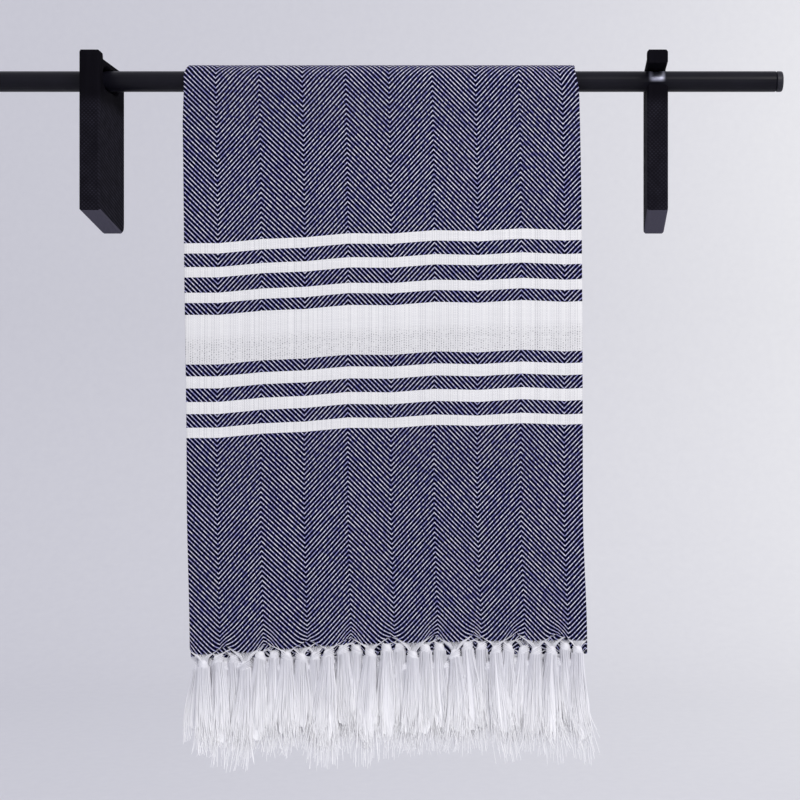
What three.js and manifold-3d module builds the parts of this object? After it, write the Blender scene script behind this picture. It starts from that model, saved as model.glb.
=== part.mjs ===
// A flat-woven cotton bath towel with knotted fringe, hung over the rod of a wall rail.
// The towel's two sides are folded in behind its middle, it is doubled along its length, and
// both fringed ends hang at the front. The rod runs through an eye in the left bracket and
// lies in an open notch of the right one. Millimetres, +Z up, +Y towards the wall. The
// origin is on the back face of the left bracket, level with the middle of the rod.

import * as THREE from "three";
import { mergeVertices } from "three/addons/utils/BufferGeometryUtils.js";
import Module from "manifold-3d";

const wasm = await Module();
wasm.setup();

// Rail
const ROD_RADIUS = 8;
const ROD_TO_WALL = 33;
const ROD_OVERHANG = 100;
const ROD_SIDES = 24;
const ROD_CHAMFER = 0.5;
const CAP_LENGTH = 5;
const CAP_ROUNDING = 1.6;
const BRACKET_SPACING = 437;
const BRACKET_THICKNESS = 16;
const BRACKET_DEPTH = 60;
const LIP_TOP = 18.5;
const LIP_DEPTH = 9;
const LIP_CURVE = 3;
const SHOULDER_TOP = 14;
const FRONT_BOTTOM = -105;
const BACK_BOTTOM = -118;
const BACK_CORNER = 9;
const EDGE_CHAMFER = 1.3;
const EYE_LENGTH = 38;
const EYE_STEPS = 8;

// Cloth
const CLOTH_THICKNESS = 1;
const LAYER_GAP = 0.25;
const FOLD_BULGE = 0.3;
const STACK_GAP = 0.4;
const TOWEL_LEFT = 68.5;
const TOWEL_RIGHT = 376.5;
const FLAP_SETBACK = 6;
const DROP_SLANT = 5.8;
const FRONT_HEM_LEFT = -448;
const FRONT_HEM_RIGHT = -438;
const INNER_HEM_LEFT = -451;
const INNER_HEM_RIGHT = -447;
const BACK_FOLD_LEVEL = -360;
const BACK_FOLD_RADIUS = 3.2;
const BACK_FOLD_FLARE = 60;

// Soft waves in depth: their height, the drop by which they have grown, how fast they run
// across and down, and where they start.
const FRONT_WAVE = { height: 1.4, grown: 250, across: 7.5, down: 1 / 190, start: 0 };
const BACK_WAVE = { height: 1.8, grown: 200, across: 6, down: 1 / 240, start: 1.3 };

// Steps of the cloth's facets
const PANEL_STEPS = 5;
const FOLD_STEPS = 4;
const FRONT_STEPS = 6;
const OVER_ROD_STEPS = 8;
const BACK_STEPS = 5;
const BACK_FOLD_STEPS = 4;

// Fringe
const TASSEL_PITCH = 32.2;
const TASSEL_EDGE = 6;
const STRIP_HEIGHT = 4;
const ROOT_WIDTH = 14;
const KNOT_DROP = 9;
const KNOT_WIDTH = 9.6;
const KNOT_DEPTH = 7.6;
const KNOT_HEIGHT = 9.6;
const KNOT_SIDES = 4;
const LOCK_LENGTH = 74;
const LOCK_BEND = 18;
const LOCK_FAN = 26;
const LOCK_SIDES = 3;
const EDGE_LEAN = 4;
const UNEVEN_LEAN = 2.5;
const UNEVEN_KNOT = 1;
const UNEVEN_LOCK = 8;

// A lock at its root, at its bend and at its tip: its share of the fan and of the lean, and
// the reach of its corners across and in depth.
const LOCK_ROOT = { fan: 0.18, lean: 0, wide: 0.7, deep: 1 };
const LOCK_MIDDLE = { fan: 0.45, lean: 0.2, wide: 1.3, deep: 1.2 };
const LOCK_TIP = { fan: 1, lean: 1, wide: 1.8, deep: 1 };

const SEAT_GAP = 0.3;
const ROD_Y = -ROD_TO_WALL;
const SEAT_RADIUS = (ROD_RADIUS + SEAT_GAP) / Math.cos(Math.PI / (2 * EYE_STEPS));
const LAYER_PITCH = CLOTH_THICKNESS + LAYER_GAP;
const STACK_THICKNESS = 3 * CLOTH_THICKNESS + 2 * LAYER_GAP;
const LINING_RADIUS = (ROD_RADIUS + SEAT_GAP) / Math.cos(Math.PI / (2 * OVER_ROD_STEPS));
const INNER_RADIUS = LINING_RADIUS + STACK_THICKNESS / 2;
const OUTER_RADIUS = INNER_RADIUS + STACK_THICKNESS + STACK_GAP;
const TOWEL_WIDTH = TOWEL_RIGHT - TOWEL_LEFT;

const navyCotton = new THREE.MeshStandardMaterial({ color: 0x3b3c63, roughness: 0.95, metalness: 0 });
const whiteYarn = new THREE.MeshStandardMaterial({ color: 0xe9e9ee, roughness: 0.95, metalness: 0 });
const blackSteel = new THREE.MeshStandardMaterial({ color: 0x17171b, roughness: 0.4, metalness: 0.3 });
const blackPlug = new THREE.MeshStandardMaterial({ color: 0x1c1c22, roughness: 0.5, metalness: 0 });
const blackWood = new THREE.MeshStandardMaterial({ color: 0x1b1a20, roughness: 0.55, metalness: 0 });

function mix(a, b, t) {
  return a + (b - a) * t;
}

// A repeatable uneven value between -1 and 1 for a numbered piece.
function uneven(index, salt) {
  const wave = Math.sin(index * 12.9898 + salt * 78.233) * 43758.5453;
  return 2 * (wave - Math.floor(wave)) - 1;
}

// A closed body from points and triangles, turned so that its faces point out.
function closedGeometry(points, triangles) {
  let volume = 0;
  for (const [a, b, c] of triangles) {
    volume += points[a].dot(new THREE.Vector3().crossVectors(points[b], points[c]));
  }
  const outward = triangles.map(([a, b, c]) => (volume < 0 ? [a, c, b] : [a, b, c]));
  const positions = points.flatMap((point) => point.toArray());
  const geometry = new THREE.BufferGeometry();
  geometry.setAttribute("position", new THREE.Float32BufferAttribute(positions, 3));
  geometry.setIndex(outward.flat());
  return geometry;
}

// A closed ribbon: each row holds the two faces of the cloth as lists of points.
function ribbonGeometry(rows) {
  const points = [];
  const count = rows[0].right.length;
  for (const { right, wrong } of rows) {
    points.push(...right, ...wrong);
  }
  const right = (row, i) => row * 2 * count + i;
  const wrong = (row, i) => row * 2 * count + count + i;
  const triangles = [];
  const quad = (a, b, c, d) => triangles.push([a, b, c], [a, c, d]);
  const side = count - 1;
  const end = rows.length - 1;
  for (let row = 0; row < end; row += 1) {
    for (let i = 0; i < side; i += 1) {
      quad(right(row, i), right(row, i + 1), right(row + 1, i + 1), right(row + 1, i));
      quad(wrong(row, i), wrong(row + 1, i), wrong(row + 1, i + 1), wrong(row, i + 1));
    }
    quad(right(row, 0), right(row + 1, 0), wrong(row + 1, 0), wrong(row, 0));
    quad(right(row, side), wrong(row, side), wrong(row + 1, side), right(row + 1, side));
  }
  for (let i = 0; i < side; i += 1) {
    quad(right(0, i), wrong(0, i), wrong(0, i + 1), right(0, i + 1));
    quad(right(end, i), right(end, i + 1), wrong(end, i + 1), wrong(end, i));
  }
  return closedGeometry(points, triangles);
}

// A closed strand through stations, each with the reach of its corners across and in depth.
function strandGeometry(stations, sides) {
  const points = [];
  const triangles = [];
  for (const { x, y, z, wide, deep } of stations) {
    for (let side = 0; side < sides; side += 1) {
      const angle = ((side + 0.5) / sides) * 2 * Math.PI;
      points.push(new THREE.Vector3(x + wide * Math.cos(angle), y + deep * Math.sin(angle), z));
    }
  }
  for (let ring = 0; ring < stations.length - 1; ring += 1) {
    for (let side = 0; side < sides; side += 1) {
      const a = ring * sides + side;
      const b = ring * sides + ((side + 1) % sides);
      triangles.push([a, b, b + sides], [a, b + sides, a + sides]);
    }
  }
  const last = (stations.length - 1) * sides;
  for (let side = 1; side < sides - 1; side += 1) {
    triangles.push([0, side + 1, side], [last, last + side, last + side + 1]);
  }
  return closedGeometry(points, triangles);
}

function toSolid(geometry) {
  const bare = geometry.clone();
  bare.deleteAttribute("normal");
  bare.deleteAttribute("uv");
  const merged = mergeVertices(bare, 1e-4);
  return new wasm.Manifold(new wasm.Mesh({
    numProp: 3,
    vertProperties: new Float32Array(merged.attributes.position.array),
    triVerts: new Uint32Array(merged.index.array),
  }));
}

function toGeometry(solid) {
  const mesh = solid.getMesh();
  const geometry = new THREE.BufferGeometry();
  geometry.setAttribute("position", new THREE.Float32BufferAttribute(mesh.vertProperties, 3));
  geometry.setIndex(Array.from(mesh.triVerts));
  return geometry;
}

function named(name, geometry, material) {
  const mesh = new THREE.Mesh(geometry, material);
  mesh.name = name;
  return mesh;
}

// A round piece along X from a profile of (radius, distance from its start).
function turnedPiece(name, start, profile, material) {
  const points = profile.map(([radius, along]) => new THREE.Vector2(radius, along));
  const piece = named(name, new THREE.LatheGeometry(points, ROD_SIDES), material);
  piece.rotation.z = -Math.PI / 2;
  piece.position.set(start, ROD_Y, 0);
  return piece;
}

function rod() {
  const length = BRACKET_SPACING + 2 * (ROD_OVERHANG - CAP_LENGTH - SEAT_GAP);
  const profile = [
    [0, 0],
    [ROD_RADIUS - ROD_CHAMFER, 0],
    [ROD_RADIUS, ROD_CHAMFER],
    [ROD_RADIUS, length - ROD_CHAMFER],
    [ROD_RADIUS - ROD_CHAMFER, length],
    [0, length],
  ];
  return turnedPiece("rod", -ROD_OVERHANG + CAP_LENGTH + SEAT_GAP, profile, blackSteel);
}

// The plug in an end of the rod, rounded at its outer rim. inward is 1 where it points to +X.
function rodCap(name, outerEnd, inward) {
  const profile = [
    [0, 0],
    [ROD_RADIUS - CAP_ROUNDING, 0],
    [ROD_RADIUS - 0.3 * CAP_ROUNDING, 0.3 * CAP_ROUNDING],
    [ROD_RADIUS, CAP_ROUNDING],
    [ROD_RADIUS, CAP_LENGTH - ROD_CHAMFER],
    [ROD_RADIUS - ROD_CHAMFER, CAP_LENGTH],
    [0, CAP_LENGTH],
  ];
  const cap = turnedPiece(name, outerEnd, profile, blackPlug);
  cap.rotation.z *= inward;
  return cap;
}

// Side view of a bracket as (Y, Z): shoulder, lip, front, slanted foot and round back corner.
function bracketOutline(openFront) {
  const front = -BRACKET_DEPTH;
  const footSlope = (FRONT_BOTTOM - BACK_BOTTOM) / BRACKET_DEPTH;
  const outline = new THREE.Shape();
  outline.moveTo(0, SHOULDER_TOP);
  outline.lineTo(front + LIP_DEPTH, SHOULDER_TOP);
  outline.quadraticCurveTo(front + LIP_DEPTH, LIP_TOP, front + LIP_DEPTH - LIP_CURVE, LIP_TOP);
  outline.lineTo(front, LIP_TOP);
  if (openFront) {
    outline.lineTo(front, SEAT_RADIUS);
    outline.lineTo(ROD_Y, SEAT_RADIUS);
    outline.absarc(ROD_Y, 0, SEAT_RADIUS, Math.PI / 2, -Math.PI / 2, true);
    outline.lineTo(front, -SEAT_RADIUS);
  }
  outline.lineTo(front, FRONT_BOTTOM);
  outline.lineTo(-BACK_CORNER, BACK_BOTTOM + BACK_CORNER * footSlope);
  outline.quadraticCurveTo(0, BACK_BOTTOM, 0, BACK_BOTTOM + BACK_CORNER);
  outline.closePath();
  return outline;
}

// The eye of the left bracket: a long round-ended hole with the rod in its middle.
function eyeOutline() {
  const reach = EYE_LENGTH / 2 - SEAT_RADIUS;
  const eye = new THREE.Path();
  eye.moveTo(ROD_Y - reach, SEAT_RADIUS);
  eye.absarc(ROD_Y - reach, 0, SEAT_RADIUS, Math.PI / 2, 1.5 * Math.PI, false);
  eye.lineTo(ROD_Y + reach, -SEAT_RADIUS);
  eye.absarc(ROD_Y + reach, 0, SEAT_RADIUS, -Math.PI / 2, Math.PI / 2, false);
  eye.closePath();
  return eye;
}

// A bracket cut from thick board. An arc takes two steps for each curve segment.
function bracket(name, middle, openFront) {
  const outline = bracketOutline(openFront);
  if (!openFront) {
    outline.holes.push(eyeOutline());
  }
  const geometry = new THREE.ExtrudeGeometry(outline, {
    depth: BRACKET_THICKNESS - 2 * EDGE_CHAMFER,
    bevelThickness: EDGE_CHAMFER,
    bevelSize: EDGE_CHAMFER,
    bevelOffset: -EDGE_CHAMFER,
    bevelSegments: 1,
    curveSegments: EYE_STEPS / 2,
  });
  const alongX = new THREE.Vector3(1, 0, 0);
  const alongY = new THREE.Vector3(0, 1, 0);
  const alongZ = new THREE.Vector3(0, 0, 1);
  geometry.applyMatrix4(new THREE.Matrix4().makeBasis(alongY, alongZ, alongX));
  const piece = named(name, geometry, blackWood);
  piece.position.x = middle - BRACKET_THICKNESS / 2 + EDGE_CHAMFER;
  return piece;
}

// Section of one stack: the front panel with its two sides folded in behind it. It runs from
// the hidden selvage of the left side flap, round the left fold, across the front panel,
// round the wider right fold, and along the right side flap to its own selvage. Each step
// gives a point of both faces as x and offset, its distance in front of the middle layer.
function stackSection() {
  const half = CLOTH_THICKNESS / 2;
  const section = [];
  const step = (x, offset, faceX, faceOffset) => section.push({
    right: { x: x + half * faceX, offset: offset + half * faceOffset },
    wrong: { x: x - half * faceX, offset: offset - half * faceOffset },
  });
  const layer = (from, to, offset, facing) => {
    for (let i = 0; i <= PANEL_STEPS; i += 1) {
      step(mix(from, to, i / PANEL_STEPS), offset, 0, facing);
    }
  };
  const fold = (x, from, to, direction) => {
    const middle = (from + to) / 2;
    const side = Math.sign(from - middle);
    const radius = Math.abs(from - middle);
    for (let i = 1; i < FOLD_STEPS; i += 1) {
      const angle = (i / FOLD_STEPS) * Math.PI;
      const faceX = direction * Math.sin(angle);
      const faceOffset = side * Math.cos(angle);
      step(x + (radius + FOLD_BULGE) * faceX, middle + radius * faceOffset, faceX, faceOffset);
    }
  };
  const left = TOWEL_LEFT + LAYER_PITCH / 2 + FOLD_BULGE + half;
  const right = TOWEL_RIGHT - LAYER_PITCH - FOLD_BULGE - half;
  layer(right - FLAP_SETBACK, left, 0, -1);
  fold(left, 0, LAYER_PITCH, -1);
  layer(left, right, LAYER_PITCH, 1);
  fold(right, LAYER_PITCH, -LAYER_PITCH, 1);
  layer(right, left + FLAP_SETBACK, -LAYER_PITCH, -1);
  return section;
}

const SECTION = stackSection();

// How far across the folded towel a point lies, from 0 at the left to 1 at the right.
function across(x) {
  return (x - TOWEL_LEFT) / TOWEL_WIDTH;
}

function frontHem(x) {
  const share = THREE.MathUtils.clamp(across(x), 0, 1);
  return mix(FRONT_HEM_LEFT, FRONT_HEM_RIGHT, Math.sin((share * Math.PI) / 2));
}

function innerHem(x) {
  return mix(INNER_HEM_LEFT, INNER_HEM_RIGHT, across(x));
}

function waveDepth(wave, x, z) {
  const growth = Math.min(1, -z / wave.grown);
  return wave.height * growth * Math.sin(across(x) * wave.across + z * wave.down + wave.start);
}

// The towel hangs a little askew: its front drifts to the right on the way down.
function drift(z) {
  return (DROP_SLANT * z) / FRONT_HEM_LEFT;
}

// The stack on the inner run is turned over, so its offsets count the other way.
function turnedOver(point) {
  return { x: point.x, offset: -point.offset };
}

function frontPoint({ x, offset }, radius, z) {
  return new THREE.Vector3(x + drift(z), ROD_Y - radius - offset + waveDepth(FRONT_WAVE, x, z), z);
}

function overRodPoint({ x, offset }, radius, share) {
  const angle = Math.PI * (1 - share);
  const reach = radius + offset;
  return new THREE.Vector3(x, ROD_Y + reach * Math.cos(angle), reach * Math.sin(angle));
}

// Down the back, the two runs part a little so that the fold at the bottom is round.
function backPoint({ x, offset }, radius, outward, share) {
  const z = BACK_FOLD_LEVEL * share;
  const spread = BACK_FOLD_RADIUS - (OUTER_RADIUS - INNER_RADIUS) / 2;
  const parting = THREE.MathUtils.smoothstep(-z, -BACK_FOLD_LEVEL - BACK_FOLD_FLARE, -BACK_FOLD_LEVEL);
  const y = ROD_Y + radius + offset + outward * spread * parting + waveDepth(BACK_WAVE, x, z);
  return new THREE.Vector3(x - drift(z) / 2, y, z);
}

function backFoldPoint({ x, offset }, share) {
  const angle = Math.PI * share;
  const reach = BACK_FOLD_RADIUS + offset;
  const wave = waveDepth(BACK_WAVE, x, BACK_FOLD_LEVEL);
  const middle = ROD_Y + (OUTER_RADIUS + INNER_RADIUS) / 2 + wave;
  return new THREE.Vector3(
    x - drift(BACK_FOLD_LEVEL) / 2,
    middle + reach * Math.cos(angle),
    BACK_FOLD_LEVEL - reach * Math.sin(angle),
  );
}

function clothRow(place) {
  return {
    right: SECTION.map((step) => place(step.right)),
    wrong: SECTION.map((step) => place(step.wrong)),
  };
}

// The whole cloth: up the front, over the rod, down the back, round the fold there, and
// the same way back inside it, to the hem that hangs behind the front one.
function towelCloth() {
  const rows = [];
  for (let i = 0; i < FRONT_STEPS; i += 1) {
    const left = 1 - i / FRONT_STEPS;
    rows.push(clothRow((point) => frontPoint(point, OUTER_RADIUS, frontHem(point.x) * left)));
  }
  for (let i = 0; i <= OVER_ROD_STEPS; i += 1) {
    rows.push(clothRow((point) => overRodPoint(point, OUTER_RADIUS, i / OVER_ROD_STEPS)));
  }
  for (let i = 1; i <= BACK_STEPS; i += 1) {
    rows.push(clothRow((point) => backPoint(point, OUTER_RADIUS, 1, i / BACK_STEPS)));
  }
  for (let i = 1; i < BACK_FOLD_STEPS; i += 1) {
    rows.push(clothRow((point) => backFoldPoint(point, i / BACK_FOLD_STEPS)));
  }
  for (let i = BACK_STEPS; i >= 1; i -= 1) {
    rows.push(clothRow((point) => backPoint(turnedOver(point), INNER_RADIUS, -1, i / BACK_STEPS)));
  }
  for (let i = OVER_ROD_STEPS; i >= 0; i -= 1) {
    rows.push(clothRow((point) => overRodPoint(turnedOver(point), INNER_RADIUS, i / OVER_ROD_STEPS)));
  }
  for (let i = 1; i <= FRONT_STEPS; i += 1) {
    const done = i / FRONT_STEPS;
    rows.push(clothRow((point) => frontPoint(turnedOver(point), INNER_RADIUS, innerHem(point.x) * done)));
  }
  return named("towel_cloth", ribbonGeometry(rows), navyCotton);
}

// The fringe of each end of the towel. Each layer of its stack has a row of tassels: how far
// from the left the first one is, the layer's place in the stack with 1 at the front, how far
// in front of the rod's middle the locks hang, and locks to a tassel.
const FRONT_END = {
  name: "fringe_front_end",
  radius: OUTER_RADIUS,
  inside: false,
  hem: frontHem,
  knotDepth: 16.2,
  rows: [
    { first: 11.8, layer: 1, lockDepth: 19.4, locks: 4 },
    { first: 22.5, layer: 0, lockDepth: 16.4, locks: 4 },
    { first: 33.2, layer: -1, lockDepth: 13.5, locks: 4 },
  ],
};
const INNER_END = {
  name: "fringe_inner_end",
  radius: INNER_RADIUS,
  inside: true,
  hem: innerHem,
  knotDepth: 7.4,
  rows: [
    { first: 17.1, layer: 1, lockDepth: 9.9, locks: 3 },
    { first: 27.8, layer: 0, lockDepth: 6.9, locks: 3 },
    { first: 6.4, layer: -1, lockDepth: 3.9, locks: 3 },
  ],
};

// The narrow strip just under the hem, from which the warp ends are gathered.
function fringeStrip(end) {
  const stripRow = (drop) => clothRow((point) => {
    const placed = end.inside ? turnedOver(point) : point;
    return frontPoint(placed, end.radius, end.hem(point.x) - SEAT_GAP - drop);
  });
  return ribbonGeometry([stripRow(0), stripRow(STRIP_HEIGHT)]);
}

// The gathered warp ends and their knot, as one strand that swells at the knot.
function knottedRoot(x, stripY, knotY, top, knotZ) {
  const wide = KNOT_WIDTH / 2;
  const deep = KNOT_DEPTH / 2;
  const half = KNOT_HEIGHT / 2;
  const neck = { y: mix(stripY, knotY, 0.6), z: mix(top, knotZ, 0.45) };
  return strandGeometry([
    { x, y: stripY, z: top, wide: ROOT_WIDTH / 2, deep: CLOTH_THICKNESS / 2 },
    { x, ...neck, wide: 0.7 * wide, deep: 0.6 * deep },
    { x, y: knotY, z: knotZ + 0.3 * half, wide, deep },
    { x, y: knotY, z: knotZ - 0.4 * half, wide, deep },
    { x, y: knotY, z: knotZ - half, wide: 0.6 * wide, deep: 0.6 * deep },
  ], KNOT_SIDES);
}

function tassel(end, tasselRow, index, x) {
  const hem = end.hem(x);
  const seed = index + 10 * tasselRow.lockDepth;
  const lean = (2 * across(x) - 1) * EDGE_LEAN + uneven(seed, 1) * UNEVEN_LEAN;
  const hang = x + drift(hem);
  const rodY = ROD_Y + waveDepth(FRONT_WAVE, x, hem);
  const stripY = rodY - end.radius - tasselRow.layer * LAYER_PITCH;
  const knotY = rodY - end.knotDepth;
  const lockY = rodY - tasselRow.lockDepth;
  const knotZ = hem - SEAT_GAP - KNOT_DROP - uneven(seed, 2) * UNEVEN_KNOT;
  const top = hem - SEAT_GAP - STRIP_HEIGHT / 2;
  const rootZ = knotZ - 0.3 * KNOT_HEIGHT;
  const bendZ = knotZ - LOCK_BEND;
  const strands = [knottedRoot(hang, stripY, knotY, top, knotZ)];
  for (let lock = 0; lock < tasselRow.locks; lock += 1) {
    const lane = (lock + 0.5) / tasselRow.locks - 0.5;
    const tipZ = knotZ - LOCK_LENGTH - uneven(seed + lock, 3) * UNEVEN_LOCK;
    const station = (part, y, z) => {
      const x = hang + part.fan * lane * LOCK_FAN + part.lean * lean;
      return { x, y, z, wide: part.wide, deep: part.deep };
    };
    strands.push(strandGeometry([
      station(LOCK_ROOT, knotY, rootZ),
      station(LOCK_MIDDLE, lockY, bendZ),
      station(LOCK_TIP, lockY, tipZ),
    ], LOCK_SIDES));
  }
  return strands.map(toSolid);
}

function fringe(end) {
  const solids = [toSolid(fringeStrip(end))];
  for (const tasselRow of end.rows) {
    const room = TOWEL_WIDTH - TASSEL_EDGE - tasselRow.first;
    const count = Math.floor(room / TASSEL_PITCH) + 1;
    for (let index = 0; index < count; index += 1) {
      const x = TOWEL_LEFT + tasselRow.first + index * TASSEL_PITCH;
      solids.push(...tassel(end, tasselRow, index, x));
    }
  }
  return named(end.name, toGeometry(wasm.Manifold.union(solids)), whiteYarn);
}

const rail = new THREE.Group();
rail.add(rod());
rail.add(rodCap("rod_cap_left", -ROD_OVERHANG, 1));
rail.add(rodCap("rod_cap_right", BRACKET_SPACING + ROD_OVERHANG, -1));
rail.add(bracket("bracket_left", 0, false));
rail.add(bracket("bracket_right", BRACKET_SPACING, true));

const towel = new THREE.Group();
towel.add(towelCloth());
towel.add(fringe(FRONT_END));
towel.add(fringe(INNER_END));

const towelOnRail = new THREE.Group();
towelOnRail.add(rail, towel);

export default towelOnRail;
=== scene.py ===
# %% [markdown]
# # A flat-woven bath towel on a wall rail
# The object is a cotton bath towel of the thin hammam kind: a navy and white herringbone
# ground, a group of white stripes at each end, and a fringe of knotted warp ends. It is
# folded in three across, doubled along its length and hung over a black steel rod.
# The rod, its plugs and the two wooden brackets are hard parts with exact shapes, so they
# come from the frame and only get their finishes here. Cloth and yarn are soft, so they are
# modelled here and stand in for the plain solids of the frame.

# %% Load the frame
import math

import bpy
import numpy as np
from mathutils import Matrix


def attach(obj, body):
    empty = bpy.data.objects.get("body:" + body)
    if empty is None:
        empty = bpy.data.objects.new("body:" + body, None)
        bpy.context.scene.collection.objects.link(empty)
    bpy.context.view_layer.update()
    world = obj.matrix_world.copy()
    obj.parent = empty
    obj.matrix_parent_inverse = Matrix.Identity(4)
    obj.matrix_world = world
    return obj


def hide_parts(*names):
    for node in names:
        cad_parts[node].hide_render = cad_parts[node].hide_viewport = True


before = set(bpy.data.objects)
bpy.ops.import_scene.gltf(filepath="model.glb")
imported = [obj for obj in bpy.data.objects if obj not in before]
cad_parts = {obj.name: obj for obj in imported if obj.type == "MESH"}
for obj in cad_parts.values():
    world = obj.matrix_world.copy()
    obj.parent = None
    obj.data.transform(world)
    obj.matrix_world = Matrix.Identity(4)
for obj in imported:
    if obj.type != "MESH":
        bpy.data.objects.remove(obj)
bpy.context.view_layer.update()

# %% [markdown]
# ## The camera
# The picture is taken level with the middle of the front drop, a little more than a metre
# from the cloth. The towel stands left of the camera's axis, so the lens is shifted sideways
# and not turned: that keeps the brackets upright, as a view camera would.

# %% Camera
CAMERA_PLACE = (0.3711, -1.137, -0.2548)
LENS = 63.05
LENS_SHIFT = (-0.215, 0.00625)

bpy.ops.object.select_all(action="DESELECT")
bpy.ops.object.camera_add(location=CAMERA_PLACE, rotation=(math.pi / 2, 0, 0))
camera = bpy.context.object
camera.name = "camera_front"
camera.data.lens = LENS
camera.data.shift_x, camera.data.shift_y = LENS_SHIFT
bpy.context.scene.camera = camera
print("camera", CAMERA_PLACE, LENS, "mm")

# %% [markdown]
# ## The cloth's measures
# All sizes are in millimetres, as a weaver would note them, and are turned to metres once,
# when a mesh gets its points. The flat cloth is about 0.91 m wide and 1.69 m long without
# its fringe. Across, the left third and the right third are turned in behind the middle
# third. Along, the cloth is doubled, so three layers lie on the rod and three more on them.

# %% Sizes of the cloth
MM = 0.001
ROD_Y = -33.0
LEFT_EDGE = 68.5
PANEL = 308.0
FLAP_SETBACK = 6.0
CLOTH_LENGTH = 1690.0
CLOTH_THICKNESS = 0.55
LAYERS_MIDDLE = 10.35
PITCH_ON_ROD = 0.78
PITCH_HANGING = 1.05
LOOSENS_OVER = 120.0
HEM_LEFT, HEM_RIGHT = 448.0, 438.0
INNER_LEFT, INNER_RIGHT = 452.5, 449.0
FOLD_FLARE, FLARE_OVER = 1.6, 60.0

# How far each layer of a stack lies from the middle of both stacks, in layer pitches.
FRONT_PANEL, LEFT_FLAP, RIGHT_FLAP = 2.5, 1.5, 0.5

ARC_OUTER = math.pi * (LAYERS_MIDDLE + FRONT_PANEL * PITCH_ON_ROD)
ARC_INNER = math.pi * (LAYERS_MIDDLE - FRONT_PANEL * PITCH_ON_ROD)
ARC_FOLD = math.pi * (FRONT_PANEL * PITCH_HANGING + FOLD_FLARE)
print("round the rod", round(ARC_OUTER, 1), round(ARC_INNER, 1), "fold", round(ARC_FOLD, 1))

# %% [markdown]
# ## How the drops hang
# A folded towel on a rail never hangs quite straight. Its hem rises to the right, it drifts
# sideways on its way down, its folded edges draw in where they turn over the rod, and its
# face has slow waves a millimetre or two deep. A cloth simulation would lose the exact folds
# and stripes, so these few movements are given as functions of the place on the
# cloth, and the fringe uses the same ones. In them x runs from the towel's left fold to its
# right one, z is the height above the rod's middle, so it is negative in a drop, and a pair
# such as ROLL_IN is the stretch over which a movement comes in.

# %% Movements of the hanging cloth
TASSEL_PITCH = 32.2
SCALLOP_HEIGHT = 5.4
SCALLOP_OVER = 27.0
LEFT_DIP, DIP_ENDS = 1.5, (50, 100)
DRIFT_HIGH, DRIFT_SCALE = 3.0, 110
DRIFT_LOW, DRIFT_LOW_OVER = 3.3, (330, 445)
WIDENING, WIDENS_OVER = 1.3, (340, 440)
EDGE_ROLL, ROLL_STAYS_NEAR = 1.7, 8
ROLL_IN, ROLL_OUT = (0, 40), (120, 300)
WANDER_AT_TOP, WANDER_BACK, WANDERS_OVER = 0.75, 1.15, (110, 300)
PINCH, PINCH_WIDTH = 0.28, 8

# How far a fold draws in over the rod, over how wide a strip, and the stretch it ends over.
RIGHT_SHOULDER, LEFT_SHOULDER = (3.3, 40, (-11, 12)), (1.5, 30, (-11, -3))

# Each wave: how deep it gets, over what stretch, how many radians of it lie across the
# towel, how many millimetres of the way down make one radian, and where it starts.
FRONT_WAVES = [(1.4, 250, 7.5, 190, 0.0), (0.35, 250, 17, -61, 0.8)]
BACK_WAVES = [(1.8, 200, 6, 240, 1.3)]


def smooth(value, low, high):
    share = np.clip((value - low) / (high - low), 0, 1)
    return share * share * (3 - 2 * share)


def front_length(x):
    risen = (HEM_LEFT - HEM_RIGHT) * np.sin(np.clip(x / PANEL, 0, 1) * math.pi / 2)
    return HEM_LEFT - risen + LEFT_DIP * (1 - smooth(x, *DIP_ENDS))


def inner_length(x):
    return INNER_LEFT + (INNER_RIGHT - INNER_LEFT) * np.clip(x / PANEL, 0, 1)


def back_length(x):
    rest = CLOTH_LENGTH - ARC_OUTER - ARC_INNER - ARC_FOLD
    return (rest - front_length(x) - inner_length(x)) / 2


def drift(z):
    return DRIFT_HIGH * (1 - np.exp(z / DRIFT_SCALE)) + DRIFT_LOW * smooth(-z, *DRIFT_LOW_OVER)


def widening(x, z):
    """The front drop spreads a little to the left, close to its hem."""
    return WIDENING * (1 - x / PANEL) * smooth(-z, *WIDENS_OVER)


def edge_roll(x, z):
    """Above the stripes the left fold rolls outwards, and takes in a little more cloth."""
    reach = smooth(-z, *ROLL_IN) - smooth(-z, *ROLL_OUT)
    return EDGE_ROLL * (1 - x / PANEL) ** ROLL_STAYS_NEAR * reach


def shoulder(x, z):
    """The folded edges draw in a little where they turn over the rod."""
    def drawn_in(inside, by, width, ends):
        return by * (1 - smooth(inside, 0, width)) * (1 - smooth(-z, *ends))

    return drawn_in(x, *LEFT_SHOULDER) - drawn_in(PANEL - x, *RIGHT_SHOULDER)


def fold_wander(z):
    """How far the folds wander across the warp threads on their way down."""
    return WANDER_AT_TOP - WANDER_BACK * smooth(-z, *WANDERS_OVER)


def pitch(z):
    return PITCH_ON_ROD + (PITCH_HANGING - PITCH_ON_ROD) * smooth(-z, 0, LOOSENS_OVER)


def wave(x, z, waves):
    """How far the waves push the cloth towards the wall. They grow on the way down."""
    return sum(
        deep * np.clip(-z / over, 0, 1) * np.sin(x / PANEL * across + z / down + start)
        for deep, over, across, down, start in waves
    )


def edge_pinch(x, z):
    """The layers lie closer to each other near the folded edges."""
    nearest = np.minimum(x, PANEL - x)
    pinched = PINCH * np.clip(1 - nearest / PINCH_WIDTH, 0, 1) ** 2
    return 1 - pinched * smooth(-z, 0, LOOSENS_OVER)


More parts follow.
